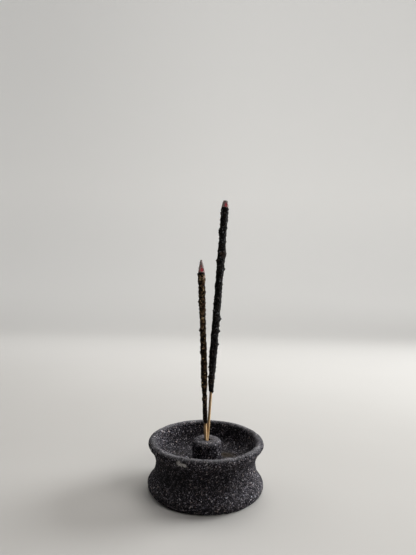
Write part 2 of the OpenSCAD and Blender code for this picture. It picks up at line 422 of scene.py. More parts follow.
def stone():
    """The bowl and its boss as one closed mesh, worn and pitted like hand-cut stone."""
    foot_in = foot_c[0] + math.sqrt(FOOT_R**2 - FOOT_Z**2)
    a_start = -math.degrees(math.asin(FOOT_Z / FOOT_R))
    wall_a, wall_b = wall_top, fil_c + FIL_R * np.array([math.cos(math.radians(-4)), math.sin(math.radians(-4))])
    boss_fil_c = (BOSS_R + BOSS_FIL, FLOOR_Z + BOSS_FIL)
    # (points, spacing, zone)
    segs = [
        (np.array([[0.6, 0.0], [foot_in, 0.0]]), 1.5, "under"),
        (arc(foot_c, FOOT_R, a_start, ang(waist_c - foot_c), 60), 0.62, "foot"),
        (arc(waist_c, WAIST, up(ang(foot_c - waist_c)), up(ang(rim_c - waist_c)), 60), 0.62, "waist"),
        (arc(rim_c, RIM_R, ang(waist_c - rim_c), 90, 40), 0.58, "rim"),
        (np.array([[rim_c[0], BOWL_H], [rim_in_c[0], BOWL_H]]), 0.5, "crest"),
        (arc(rim_in_c, RIM_IN, 90, 180, 30), 0.58, "rim_in"),
        (np.array([wall_a, wall_b]), 0.62, "wall"),
        (arc(fil_c, FIL_R, -4, -90, 40), 0.66, "fillet"),
        (np.array([[fil_c[0], FLOOR_Z], [boss_fil_c[0], FLOOR_Z]]), 0.72, "floor"),
        (arc(boss_fil_c, BOSS_FIL, 270, 180, 16), 0.6, "boss_fillet"),
        (np.array([[BOSS_R, FLOOR_Z + BOSS_FIL], [BOSS_R, BOSS_TOP - BOSS_ROUND]]), 0.62, "boss_side"),
        (arc((BOSS_R - BOSS_ROUND, BOSS_TOP - BOSS_ROUND), BOSS_ROUND, 0, 90, 16), 0.5, "boss_edge"),
        (np.array([[BOSS_R - BOSS_ROUND, BOSS_TOP], [SOCKET_R + 0.5, BOSS_TOP]]), 0.55, "boss_top"),
        (arc((SOCKET_R + 0.5, BOSS_TOP - 0.5), 0.5, 90, 180, 6), 0.25, "mouth"),
        (np.array([[SOCKET_R, BOSS_TOP - 0.5], [SOCKET_R, BOSS_TOP - SOCKET_D]]), 1.0, "socket"),
        (np.array([[SOCKET_R, BOSS_TOP - SOCKET_D], [0.4, BOSS_TOP - SOCKET_D]]), 0.8, "socket_end"),
    ]
    prof, zone = [], []
    for pts, spacing, name in segs:
        q = resample(pts, spacing)
        prof.append(q)
        zone += [name] * len(q)
    prof = np.vstack(prof)
    zone = np.array(zone)
    tang = np.gradient(prof, axis=0)
    tang /= np.hypot(*tang.T)[:, None]
    norm = np.c_[tang[:, 1], -tang[:, 0]]
    # angular count for each ring: enough for about 0.6 mm, in powers of two times 8
    want = []
    for (r, z), nm in zip(prof, zone):
        full = {"under": 1.3, "socket": 0.5, "socket_end": 0.5, "mouth": 0.5}.get(nm, 0.62)
        n = 16
        while 2 * math.pi * r / n > full * 1.18 and n < 512:
            n *= 2
        want.append(n)
    counts = want[:]
    for k in range(1, len(counts)):
        counts[k] = min(max(counts[k], counts[k - 1] // 2), counts[k - 1] * 2)
    V0, N0, starts, ring_zone, ring_t = [], [], [], [], []
    total = 0
    for k, (r, z) in enumerate(prof):
        n = counts[k]
        t = np.arange(n) * 2 * math.pi / n
        blend = 1 - step(16.0, 30.0, np.array([r]))[0] if z > 10 and r < 31 else 0.0
        cx = BOSS_X * blend
        V0.append(np.c_[cx + r * np.cos(t), r * np.sin(t), np.full(n, z)])
        N0.append(np.c_[norm[k, 0] * np.cos(t), norm[k, 0] * np.sin(t), np.full(n, norm[k, 1])])
        starts.append(total)
        ring_zone += [zone[k]] * n
        total += n
    P, N = np.vstack(V0), np.vstack(N0)
    Z = np.array(ring_zone)
    # the foot is cut in a little more at the front left
    az = np.arctan2(P[:, 1], P[:, 0])
    pull = 0.7 * np.exp(-(((az - RT(-128)) / RT(36)) ** 2)) * step(13, 4, P[:, 2]) * (np.hypot(P[:, 0], P[:, 1]) > 20) * np.isin(Z, ["under", "foot", "waist"])
    rr = np.hypot(P[:, 0], P[:, 1])
    P[:, :2] *= (1 - pull * (rr / 50) / np.maximum(rr, 1))[:, None]
    # how freely each zone moves
    free = np.ones(total)
    for nm, w in (("under", 0.25), ("socket", 0.0), ("socket_end", 0.0), ("mouth", 0.25), ("boss_top", 0.55), ("floor", 0.7), ("fillet", 0.8)):
        free[Z == nm] = w
    outer = np.isin(Z, ["foot", "waist", "rim", "crest"])
    d = 0.34 * fbm(P, 30, 3, 2) * np.where(outer, 1, 0.8)
    d += 0.15 * fbm(P, 8.5, 11, 2)
    d += 0.085 * noise(P, 2.9, 21)
    d += 0.075 * noise(P, 1.5, 29)
    # open pores, mostly small, a few larger
    f, g, own = cells(P, 3.4, 41)
    pore = np.where(own < 0.42, step(0.34, 0.08, f) * (0.16 + 0.22 * own / 0.42), 0)
    f, g, own = cells(P, 7.5, 47)
    pore += np.where(own < 0.30, step(0.20, 0.05, f) * 0.38, 0)
    # small breaks along the rim's edges and the foot
    edge = np.isin(Z, ["rim", "crest", "rim_in", "foot", "boss_edge"]).astype(float)
    nick = step(0.50, 0.95, fbm(P, 5.2, 61, 2)) * edge
    d -= pore + 0.55 * nick
    # the scraped chip under the front left of the rim
    u = np.array([0.80, 0.36, -0.22])
    u /= np.linalg.norm(u)
    c = np.array([-19.2, -45.4, 37.9])
    rel = P - c
    nrm = np.array([-0.37, -0.92, 0.1])
    nrm /= np.linalg.norm(nrm)
    v = np.cross(nrm, u)
    au, av = rel @ u, rel @ v
    rag = 0.45 * noise(P, 1.5, 71) + 0.2 * noise(P, 0.8, 72)
    chip = step(1.15, 0.70, np.sqrt((au / 3.9) ** 2 + (av / 1.35) ** 2) + rag) * (rel @ nrm > -4)
    d -= 0.75 * chip * (0.75 + 0.35 * noise(P, 1.3, 73))
    D = d * free
    Q = P + N * D[:, None]
    # it stands on a flat foot: nothing goes below the table, and the flat stays flat
    flat = Z == "under"
    Q[:, 2] = np.maximum(Q[:, 2], 0.0)
    bearing = flat & (np.hypot(P[:, 0], P[:, 1]) > 34)
    Q[bearing, 2] = np.maximum(0.0, 0.06 * np.maximum(0, noise(P[bearing], 2.5, 81)))
    Q[flat & ~bearing, 2] = np.maximum(0.0, 0.10 + 0.16 * noise(P[flat & ~bearing], 3.0, 83))
    # painted masks
    up_face = np.clip(N[:, 2], 0, 1)
    # stone dust and wear, plus painted top light: more on upward faces, the crest, rim and boss top, more still on the
    # front crest, less on the left side and in the pores
    dust_and_painted_light = 0.03 + 0.12 * up_face + 0.045 * (Z == "foot")
    dust_and_painted_light += np.where(np.isin(Z, ["crest", "rim"]), 0.40 * up_face**4 * step(-5, -40, np.degrees(az)) * step(-172, -140, np.degrees(az)), 0)
    dust_and_painted_light += np.where(np.isin(Z, ["crest"]), 0.66, 0) + np.where(np.isin(Z, ["rim", "rim_in"]), 0.62 * up_face**3, 0)
    dust_and_painted_light += np.where(np.isin(Z, ["boss_edge"]), 0.28 * up_face, 0) + np.where(np.isin(Z, ["boss_top"]), 0.26, 0)
    dust_and_painted_light += np.where(np.isin(Z, ["floor", "fillet"]), 0.10 * up_face, 0)
    dust_and_painted_light *= 1.0 - 0.34 * step(118, 165, np.abs(np.degrees(az)))
    dust_and_painted_light *= 0.75 + 0.5 * noise(P, 9, 91)
    dust_and_painted_light -= 0.5 * np.minimum(1, pore / 0.2)
    spill = np.hypot(P[:, 0] - 18.5, P[:, 1] - 11.8)
    ashd = step(11.0, 4.0, spill + 2.2 * noise(P, 5, 93)) * (Z == "floor")
    ashd = np.maximum(ashd, 0.30 * step(0.1, 0.8, fbm(P, 7, 95)) * np.isin(Z, ["floor"]))
    ashd = np.maximum(ashd, 0.35 * step(6.2, 3.2, np.hypot(P[:, 0] - BOSS_X, P[:, 1])) * (Z == "boss_top"))
    # painted shade: the waist is darker at the front and left, and less so round the back
    shade = 0.45 * (Z == "waist") * step(13, 17, P[:, 2]) * step(36, 31, P[:, 2]) * step(-18, -62, np.degrees(az))
    shade += 0.30 * (Z == "waist") * (az > 0)
    scar = np.clip(chip * (0.8 + 0.5 * noise(P, 1.7, 97)), 0, 1)
    F = []
    join_rings(counts, starts, F)
    n0, n1 = counts[0], counts[-1]
    V = np.vstack([Q, [[0, 0, 0.1]], [[BOSS_X, 0, BOSS_TOP - SOCKET_D]]])
    for j in range(n0):
        F.append((total, (j + 1) % n0, j))
    s1 = starts[-1]
    for j in range(n1):
        F.append((total + 1, s1 + j, s1 + (j + 1) % n1))
    ext = lambda a: np.r_[np.clip(a, 0, 1), [0, 0]]
    make_piece("stone_bowl_carved", V, F, "burner", ["stone_bowl"], stone_material(),
               {"dust_and_painted_light": ext(dust_and_painted_light), "ash_dust": ext(ashd), "scar": ext(scar), "shade": ext(shade)})
    return sum(2 if len(f) == 4 else 1 for f in F)


# ---------------------------------------------------------------- sticks


class Stick:
    def __init__(self, at, slope, bow=0.0, bow_s=80.0, bow_w=60.0, seed=1):
        self.at = np.array([at[0], at[1], BOSS_TOP])
        d = np.array([slope[0], slope[1], 1.0])
        self.d = d / np.linalg.norm(d)
        axis = np.array([-slope[1], slope[0], 0.0])
        axis /= np.linalg.norm(axis)
        th = math.acos(self.d[2])
        K = np.array([[0, -axis[2], axis[1]], [axis[2], 0, -axis[0]], [-axis[1], axis[0], 0]])
        M = np.eye(3) + math.sin(th) * K + (1 - math.cos(th)) * K @ K
        self.ex, self.ey = M[:, 0], M[:, 1]
        self.bow, self.bow_s, self.bow_w, self.seed = bow, bow_s, bow_w, seed

    def off(self, s):
        """The stick's slight bow, in its own x."""
        s = np.asarray(s, float)
        b = self.bow * np.exp(-(((s - self.bow_s) / self.bow_w) ** 2)) * step(12, 40, s)
        return b

    def at_s(self, s, x, y):
        s = np.asarray(s, float)
        x = x + self.off(s)
        return self.at + s[..., None] * self.d + np.asarray(x)[..., None] * self.ex + np.asarray(y)[..., None] * self.ey

    def local(self, s, a, r):
        """Local cylinder coordinates as points, for noise: the same at any lean."""
        return np.c_[r * np.cos(a), r * np.sin(a), s]


LONG = Stick((BOSS_X + 0.38, 1.12), (0.058, -0.0188), bow=-0.30, bow_s=78, bow_w=48, seed=5)
SHORT = Stick((BOSS_X - 0.84, -1.2), (-0.044, 0.0135), bow=0.15, bow_s=75, bow_w=50, seed=9)
LONG_LEN, LONG_BARE, LONG_TIP = 208.9, 42.0, 6.0
SHORT_LEN, SHORT_BARE, SHORT_TIP = 156.8, 14.7, 10.8
INSET = 14.0
RT = math.radians


def core(stick, name, node, body, top, stain_and_shade_s, seed, bare, full, shift):
    """Split bamboo: a round-cornered section with grooves along the fibre, cut at the foot."""
    n, rings = 40, 150
    s = np.concatenate([np.linspace(-INSET + 0.06, bare + 6, rings), np.linspace(bare + 8, top - 0.05, 26)])
    t = np.arange(n) * 2 * math.pi / n
    S, T = np.meshgrid(s, t, indexing="ij")
    q = np.c_[np.cos(T).ravel() * 3, np.sin(T).ravel() * 3, S.ravel() * 0.05]
    square = 0.035 * np.cos(4 * (T + 0.4 + seed) + 0.01 * S).ravel()
    groove = 0.05 * noise(q, 0.55, seed) + 0.03 * noise(q, 0.25, seed + 3)
    along = 0.03 * noise(np.c_[np.zeros(S.size), np.zeros(S.size), S.ravel()], 11, seed + 5)
    r = 1.13 + square - np.abs(groove) + along
    r = np.minimum(r, 1.195)
    foot = step(-INSET, -INSET + 0.7, S.ravel())
    r = r * (0.80 + 0.20 * foot)
    free = step(0.2, 3.0, S.ravel()) * step(bare + 0.4, bare - 0.8, S.ravel())
    r = r + full * free
    P = stick.at_s(S.ravel(), r * np.cos(T.ravel()) + shift * free, r * np.sin(T.ravel()))
    F = []
    m = len(s)
    join_rings([n] * m, [k * n for k in range(m)], F)
    V = np.vstack([P, stick.at_s(np.array([s[0] + 0.02]), np.array([0.0]), np.array([0.0])), stick.at_s(np.array([s[-1]]), np.array([0.0]), np.array([0.0]))])
    for j in range(n):
        F.append((m * n, (j + 1) % n, j))
        F.append((m * n + 1, (m - 1) * n + j, (m - 1) * n + (j + 1) % n))
    # stain toward the paste, made deeper on the left-front side (angle 200) as painted shade
    stain_and_shade = step(stain_and_shade_s[0], stain_and_shade_s[1], S.ravel()) * (0.55 + 0.45 * np.cos(T.ravel() - RT(200)))
    char = step(bare - 1.2, bare + 0.6, S.ravel() + 0.8 * noise(q * np.array([1, 1, 8]), 1.0, seed + 9))
    make_piece(name, V, F, body, [node], MATS["bamboo"], {"stain_and_shade": np.r_[stain_and_shade, [0, 0]], "char": np.r_[char, [0, 1]]})


def long_radius(s, a):
    """Outer radius of the long stick's paste."""
    s, a = np.asarray(s, float), np.asarray(a, float)
    base = np.interp(s, [40, 43, 46, 52, 60, 70, 100, 112, 125, 140, 150, 165, 175, 185, 203],
                     [1.55, 1.85, 2.15, 2.45, 2.75, 2.95, 2.90, 2.95, 2.85, 2.80, 3.0, 3.12, 2.92, 2.80, 2.85]) - 0.10
    full = (0.18 + 0.18 * step(64, 84, s)) * (1 - np.cos(a))
    return base + full + lumps(s, a, LONG_LUMPS) + rough(LONG, s, a, base)


def short_radius(s, a):
    s, a = np.asarray(s, float), np.asarray(a, float)
    base = np.interp(s, [13.5, 16, 24, 36, 42, 46, 60, 75, 90, 105, 112, 122, 135, 143, 146],
                     [1.45, 1.72, 1.75, 1.72, 1.78, 2.15, 2.30, 2.30, 2.28, 2.20, 2.35, 2.62, 2.65, 2.78, 2.70]) - 0.08
    return base + 0.40 * (1 - np.cos(a)) * step(14, 20, s) + lumps(s, a, SHORT_LUMPS) + rough(SHORT, s, a, base)


def lumps(s, a, table):
    out = np.zeros(np.broadcast(s, a).shape)
    for s0, deg, ds, da, h in table:
        dd = (a - RT(deg) + math.pi) % (2 * math.pi) - math.pi
        out = out + h * np.exp(-(((s - s0) / ds) ** 2) - ((dd / RT(da)) ** 2))
    return out


def rough(stick, s, a, base):
    """Crumbly surface of hand-rolled paste."""
    shape = np.broadcast(s, a).shape
    s, a, base = (np.broadcast_to(v, shape).ravel() for v in (s, a, base))
    q = stick.local(s, a, base)
    out = 0.16 * fbm(q, 6.0, stick.seed, 2)
    f, g, own = cells(q, 2.1, stick.seed + 31)
    out += 0.62 * (own - 0.32) * np.sqrt(np.clip(1 - (f / 0.80) ** 2, 0, 1)) - 0.10
    f, g, own = cells(q, 1.05, stick.seed + 37)
    out += 0.30 * (own - 0.38) * np.sqrt(np.clip(1 - (f / 0.8) ** 2, 0, 1))
    out += 0.06 * noise(q, 0.5, stick.seed + 41)
    return out.reshape(shape)


# where lumps stand out: height along the stick, side (0 = +X, 180 = -X, 270 = front), spread, size
LONG_LUMPS = [
    (181.6, 188, 2.6, 38, 1.15), (179.0, 250, 2.0, 40, 0.4), (162.0, 355, 3.2, 34, 0.85), (166.5, 330, 3.0, 40, 0.35),
    (149.6, 2, 1.5, 30, 0.75), (156.3, 178, 1.3, 32, 0.45), (146.6, 190, 2.0, 40, 0.35), (135.0, 170, 2.4, 40, 0.35),
    (117.5, 185, 2.4, 44, 0.45), (112.4, 200, 2.6, 40, 0.45), (105.8, 356, 1.9, 32, 1.35), (95.0, 2, 1.3, 28, 1.05),
    (91.3, 182, 1.7, 36, 0.45), (84.0, 355, 2.6, 38, 0.55), (76.0, 180, 3.4, 40, 0.35), (72.0, 183, 1.4, 30, 0.75),
    (66.0, 176, 2.6, 36, 0.55), (63.0, 178, 1.1, 26, 0.6), (54.6, 182, 1.0, 26, 0.8), (51.0, 184, 1.4, 30, 0.4),
    (48.2, 200, 1.6, 40, 0.35), (42.3, 350, 1.4, 40, 0.55), (191.5, 5, 1.6, 40, 0.3), (120.5, 60, 3.0, 50, 0.4),
    (99.0, 90, 3.0, 50, 0.5), (140.0, 95, 3.0, 50, 0.45), (170.0, 80, 3.0, 50, 0.5), (60.0, 80, 3.0, 50, 0.35),
]
SHORT_LUMPS = [
    (144.4, 182, 1.2, 34, 0.65), (142.0, 190, 1.6, 40, 0.35), (128.6, 182, 1.5, 36, 0.35), (128.2, 2, 1.6, 36, 0.45),
    (120.3, 184, 1.3, 32, 0.85), (112.0, 0, 2.6, 44, 0.35), (101.5, 2, 1.6, 40, 0.35), (96.6, 0, 1.4, 36, 0.35),
    (95.4, 184, 1.2, 28, 0.95), (86.0, 182, 2.0, 40, 0.25), (83.6, 4, 1.5, 36, 0.35), (76.6, 182, 0.9, 26, 0.55),
    (74.0, 358, 2.6, 40, 0.30), (66.2, 0, 2.2, 36, 0.50), (66.4, 180, 1.5, 34, 0.25), (57.0, 2, 1.8, 36, 0.30),
    (48.0, 182, 2.0, 40, 0.25), (35.6, 200, 1.0, 60, 0.28), (35.4, 300, 1.0, 60, 0.28), (22.0, 5, 2.4, 44, 0.25),
    (132.0, 90, 3.0, 50, 0.3), (108.0, 95, 3.0, 50, 0.35), (80.0, 85, 3.0, 50, 0.3), (52.0, 95, 3.0, 50, 0.3),
]


def paste(stick, name, node, material, body, radius, bare, top, rag, herb, char_band):
    """Rolled paste as a tube on its core, ragged where it ends on the bamboo."""
    n = 64
    rings = int((top - bare) / 0.40)
    t = np.arange(n) * 2 * math.pi / n
    low = bare + rag(t)
    k = np.linspace(0, 1, rings)
    S = low[None, :] + (top - low)[None, :] * k[:, None]
    T = np.broadcast_to(t[None, :], S.shape)
    r = radius(S, T)
    # blunt torn edge at the bottom, rounded shoulder at the burning end
    into = S - low[None, :]
    r = 1.26 + (r - 1.26) * (0.30 + 0.70 * step(0.0, 1.3, into)) * np.where(into < 1e-6, 0.0, 1.0)
    r = r - 0.45 * step(top - 1.2, top, S)
    P = stick.at_s(S.ravel(), (r * np.cos(T)).ravel(), (r * np.sin(T)).ravel())
    # bore: back down the inside, along the bamboo
    inner_s = np.vstack([np.full(n, top), np.full(n, (top + bare) / 2), low + 0.15])
    ri = np.vstack([np.full(n, 1.22)] * 3)
    Ti = np.broadcast_to(t[None, :], inner_s.shape)
    Pi = stick.at_s(inner_s.ravel(), (ri * np.cos(Ti)).ravel(), (ri * np.sin(Ti)).ravel())
    total = rings + 3
    F = []
    join_rings([n] * total + [n], [j * n for j in range(total)] + [0], F)
    Sl, Tl = S.ravel(), T.ravel()
    q = stick.local(Sl, Tl, r.ravel())
    hb = herb(Sl) * (0.8 + 0.5 * noise(q, 4.0, stick.seed + 51))
    ch = np.maximum(step(char_band[0], char_band[1], Sl), 0)
    pad = np.zeros(3 * n)
    make_piece(name, np.vstack([P, Pi]), F, body, [node], material,
               {"herb": np.r_[np.clip(hb, 0, 1), pad], "char": np.r_[np.clip(ch, 0, 1), pad]})


def icosphere(subdiv):
    bm = bmesh.new()
    bmesh.ops.create_icosphere(bm, subdivisions=subdiv, radius=1.0)
    V = np.array([v.co for v in bm.verts], float)
    F = [tuple(v.index for v in f.verts) for f in bm.faces]
    bm.free()
    return V, F


ICO = {k: icosphere(k) for k in (1, 2, 3)}


def chip_shape(rng, size, thin, detail):
    """One broken crumb: a ball cut by random planes, so it has flat facets and worn corners."""
    V, F = ICO[detail]
    P = V.copy()
    for _ in range(rng.integers(6, 10)):
        d = rng.normal(size=3)
        d /= np.linalg.norm(d)
        h = rng.uniform(0.45, 0.9)
        over = P @ d - h
        P = P - np.clip(over, 0, None)[:, None] * d * 0.92
    P = P * np.array([size * thin, size * rng.uniform(0.75, 1.1), size * rng.uniform(0.85, 1.25)])
    P += 0.03 * size * np.c_[noise(P, 0.3, 7), noise(P, 0.3, 8), noise(P, 0.3, 9)]
    return P, F


def rot(axis, a):
    c, s = math.cos(a), math.sin(a)
    if axis == 0:
        return np.array([[1, 0, 0], [0, c, -s], [0, s, c]])
    if axis == 1:
        return np.array([[c, 0, s], [0, 1, 0], [-s, 0, c]])
    return np.array([[c, -s, 0], [s, c, 0], [0, 0, 1]])


def gap_limit(stick, s, a):
    """How far out a crumb may stand: 9 mm at any place, without regard to the other stick."""
    return 9.0


def crumbs(stick, name, node, material, body, radius, spots, seed):
    """spots: (s, angle, size, thin, sink, tint, detail)"""
    rng = np.random.default_rng(seed)
    VV, FF, TT = [], [], []
    base = 0
    for s, a, size, thin, sink, tint, detail in spots:
        P, F = chip_shape(rng, size, thin, detail)
        P = P @ rot(0, rng.uniform(0, 2 * math.pi)).T @ rot(1, rng.uniform(-0.35, 0.35)).T @ rot(2, rng.uniform(-0.35, 0.35)).T
        r = float(radius(np.array([s]), np.array([a]))[0]) - sink * size
        x = P[:, 0] + r
        X = x * math.cos(a) - P[:, 1] * math.sin(a)
        Y = x * math.sin(a) + P[:, 1] * math.cos(a)
        VV.append(stick.at_s(s + P[:, 2], X, Y))
        FF += [tuple(i + base for i in f) for f in F]
        TT.append(np.full(len(P), tint))
        base += len(P)
    make_piece(name, np.vstack(VV), FF, body, [node], material, {"tint": np.concatenate(TT)}, smooth=False, flip=False)
    return len(FF)


def scatter(rng, count, s0, s1, sizes, thins, density=None, facing=None, clear_s=0.0, limit=0.42):
    """Spots over a stick; facing is the angle of the other stick, kept to small crumbs below clear_s."""
    out = []
    while len(out) < count:
        s = rng.uniform(s0, s1)
        a = rng.uniform(0, 2 * math.pi)
        if density is not None and rng.uniform() > density(s) ** 0.8:
            continue
        size = sizes[0] + (sizes[1] - sizes[0]) * rng.uniform() ** 1.7
        if facing is not None and s < clear_s:
            d = abs((a - facing + math.pi) % (2 * math.pi) - math.pi)
            if d < RT(70):
                size = min(size, 0.40)
        out.append((s, a, size, rng.uniform(*thins), limit * rng.uniform(0.3, 1.0), rng.uniform(0, 0.999), 3 if size > 0.75 else 2))
    return out


# ---------------------------------------------------------------- burning ends


TIP_X = -0.32


def glow(stick, name, node, body, s0, h, r0, r1, seed, lean=0.0):
    n, m = 40, 34
    k = np.linspace(0, 1, m)
    t = np.arange(n) * 2 * math.pi / n
    K, T = np.meshgrid(k, t, indexing="ij")
    prof = (r0 + (r1 - r0) * K**1.6) * np.sqrt(np.clip(1 - np.clip((K - 0.80) / 0.205, 0, 1) ** 2, 0.02, 1))
    q = np.c_[(prof * np.cos(T)).ravel(), (prof * np.sin(T)).ravel(), (K * h).ravel()]
    prof = prof.ravel() * (1 + 0.10 * fbm(q, 1.3, seed, 3)) - 0.10 * np.abs(noise(q, 0.8, seed + 4))
    prof = np.maximum(prof, 0.05)
    S = s0 + K.ravel() * h
    P = stick.at_s(S, prof * np.cos(T.ravel()) + lean * K.ravel() + TIP_X, prof * np.sin(T.ravel()))
    V = np.vstack([P, stick.at_s(np.array([s0 - 0.02]), np.array([TIP_X]), np.array([0.0])), stick.at_s(np.array([s0 + h * 1.01]), np.array([lean + TIP_X]), np.array([0.0]))])
    F = []
    join_rings([n] * m, [j * n for j in range(m)], F)
    for j in range(n):
        F.append((m * n, (j + 1) % n, j))
        F.append((m * n + 1, (m - 1) * n + j, (m - 1) * n + (j + 1) % n))
    heat = np.clip(1.0 - 1.1 * np.clip(K.ravel() - 0.45, 0, 1), 0, 1) * step(0.0, 0.14, K.ravel())
    make_piece(name, V, F, body, [node], MATS["ember"], {"ember_heat": np.r_[heat, [0, 0.2]]})


def crust(stick, name, node, body, s0, h, core_h, r0, r1, wall, open_at, seed, tip_r, keep_top, lean=0.0, warm_h=0.5):
    """A shell of ash round the ember, broken open where open_at (angle, height, width, tall) says and at random."""
    n, m = 112, max(40, int(h / 0.13))
    t = np.arange(n) * 2 * math.pi / n
    k = np.linspace(0, 1, m)
    K, T = np.meshgrid(k, t, indexing="ij")
    hc = core_h / h
    inner = np.where(K < hc, r0 + (r1 - r0) * (K / hc) ** 1.6 + 0.03, np.maximum(0.06, (r1 + 0.03) * np.clip(1 - (K - hc) / (1 - hc) * 0.94, 0, 1)))
    outer = (r0 + wall) + (tip_r - r0 - wall) * K**1.5
    q = np.c_[(outer * np.cos(T)).ravel(), (outer * np.sin(T)).ravel(), (K * h).ravel()]
    f, g, own = cells(q, 1.15, seed)
    flake = (0.26 * (own - 0.45) + 0.13 * noise(q, 0.55, seed + 7) + 0.10 * fbm(q, 1.8, seed + 9, 2)).reshape(K.shape)
    outer = np.maximum(outer + flake, inner + 0.16)
    inner = np.minimum(inner, outer - 0.14)
    # which cells of the shell are still there
    Kc = (K[:-1] + K[1:]) / 2
    Tc = T[:-1] + math.pi / n
    qc = np.c_[(2.4 * np.cos(Tc)).ravel(), (2.4 * np.sin(Tc)).ravel(), (Kc * h).ravel()]
    nz = (0.7 * noise(qc, 1.5, seed + 13) + 0.5 * noise(qc, 0.7, seed + 17)).reshape(Kc.shape)
    there = nz < 0.50
    for deg, kh, wdeg, tall in open_at:
        dd = (Tc - RT(deg) + math.pi) % (2 * math.pi) - math.pi
        there &= ((dd / RT(wdeg)) ** 2 + ((Kc - kh) / tall) ** 2 + 0.45 * nz) > 1
    there |= Kc < 0.05
    there &= ~((Kc > keep_top) & (nz > -0.05 + 1.2 * (1 - Kc)))
    # no cells that meet only at a corner
    for _ in range(6):
        a, b = there[:-1], there[1:]
        a2, b2 = np.roll(a, -1, 1), np.roll(b, -1, 1)
        bad1 = a & b2 & ~a2 & ~b
        bad2 = ~a & ~b2 & a2 & b
        if not (bad1.any() or bad2.any()):
            break
        there[:-1] |= np.roll(bad1, 1, 1) | bad2
        there[1:] |= bad1
        there[1:] |= False
        there[:-1] |= False
    Po = stick.at_s(s0 + K.ravel() * h, (outer * np.cos(T)).ravel() + lean * K.ravel() + TIP_X, (outer * np.sin(T)).ravel())
    Pi = stick.at_s(s0 + K.ravel() * h, (inner * np.cos(T)).ravel() + lean * K.ravel() + TIP_X, (inner * np.sin(T)).ravel())
    V = np.vstack([Po, Pi])
    off = len(Po)
    F = []
    rows = m - 1
    for i in range(rows):
        for j in range(n):
            if not there[i, j]:
                continue
            j2 = (j + 1) % n
            a, b, c, d = i * n + j, i * n + j2, (i + 1) * n + j2, (i + 1) * n + j
            F.append((a, b, c, d))
            F.append((off + d, off + c, off + b, off + a))
            if i == 0 or not there[i - 1, j]:
                F.append((b, a, off + a, off + b))
            if i == rows - 1 or not there[i + 1, j]:
                F.append((d, c, off + c, off + d))
            if not there[i, (j - 1) % n]:
                F.append((a, d, off + d, off + a))
            if not there[i, j2]:
                F.append((c, b, off + b, off + c))
    used = sorted({i for f in F for i in f})
    remap = {i: k2 for k2, i in enumerate(used)}
    F = [tuple(remap[i] for i in f) for f in F]
    warm = np.r_[step(warm_h, warm_h * 0.3, K.ravel()) * 0.6, step(warm_h * 1.6, 0.1, K.ravel())]
    make_piece(name, V[used], F, body, [node], MATS["ash"], {"warm": warm[used]}, smooth=False)


def spill(rng):
    """The thin spill of ash and dust on the floor right of the boss, with small flakes and crumbs."""
    n, m = 96, 26
    t = np.arange(n) * 2 * math.pi / n
    k = np.linspace(0.04, 1, m)
    K, T = np.meshgrid(k, t, indexing="ij")
    edge = 4.7 * (1 + 0.16 * noise(np.c_[np.cos(t) * 3, np.sin(t) * 3, np.zeros(n)], 1.7, 5) + 0.10 * noise(np.c_[np.cos(t) * 6, np.sin(t) * 6, np.zeros(n)], 1.1, 6))
    rad = K * edge[None, :]
    x, y = 18.5 + rad * np.cos(T) * 1.08, 11.8 + rad * np.sin(T) * 0.95
    q = np.c_[x.ravel(), y.ravel(), np.zeros(x.size)]
    z = FLOOR_Z + 0.10 + 0.40 * (1 - K.ravel() ** 2) * (0.8 + 0.6 * fbm(q, 2.4, 15, 3)) + 0.07 * noise(q, 0.7, 18)
    z = np.maximum(z, FLOOR_Z + 0.06)
    z[K.ravel() > 0.999] = FLOOR_Z - 0.12
    top = np.c_[x.ravel(), y.ravel(), z]
    bot = np.c_[18.5 + edge * np.cos(t) * 1.06, 11.8 + edge * np.sin(t) * 0.93, np.full(n, FLOOR_Z - 0.25)]
    V = [top, bot, [[18.5, 11.8, FLOOR_Z + 0.55]], [[18.5, 11.8, FLOOR_Z - 0.25]]]
    F = []
    join_rings([n] * m + [n], [j * n for j in range(m + 1)], F)
    c0, c1 = (m + 1) * n, (m + 1) * n + 1
    for j in range(n):
        F.append((c0, (j + 1) % n, j))
        F.append((c1, m * n + j, m * n + (j + 1) % n))
    V = np.vstack(V)
    warm = np.full(len(V), 0.55) + 0.4 * noise(V, 2.0, 23)
    if volume(V, F) < 0:
        F = [tuple(reversed(f)) for f in F]
    # crumbs and flakes that rolled off the sticks
    VV, FF, WW = [V], list(F), [warm]
    base = len(V)
    for i in range(46):
        a = rng.uniform(0, 2 * math.pi)
        d = abs(rng.normal(0, 4.6)) + (0 if i < 30 else 3.0)
        cx, cy = 18.5 + d * math.cos(a), 11.8 + d * math.sin(a)
        if math.hypot(cx - BOSS_X, cy) < 15.6 or math.hypot(cx, cy) > 31:
            continue
        size = rng.uniform(0.22, 0.62)
        P, f = chip_shape(rng, size, rng.uniform(0.3, 0.8), 1)
        P = P @ rot(1, math.pi / 2 + rng.uniform(-0.3, 0.3)).T @ rot(2, a * 3).T
        lift = FLOOR_Z + (0.45 if d < 3.4 else 0.12) - P[:, 2].min() * 0.75
        VV.append(P + np.array([cx, cy, lift]))
        FF += [tuple(j + base for j in face) for face in f]
        WW.append(np.full(len(P), rng.uniform(0.0, 1.0)))
        base += len(P)
    make_piece("fallen_ash_spill", np.vstack(VV), FF, "burner", ["fallen_ash"], MATS["spill"], {"warm": np.clip(np.concatenate(WW), 0, 1)}, smooth=True, flip=False)


# ---------------------------------------------------------------- build

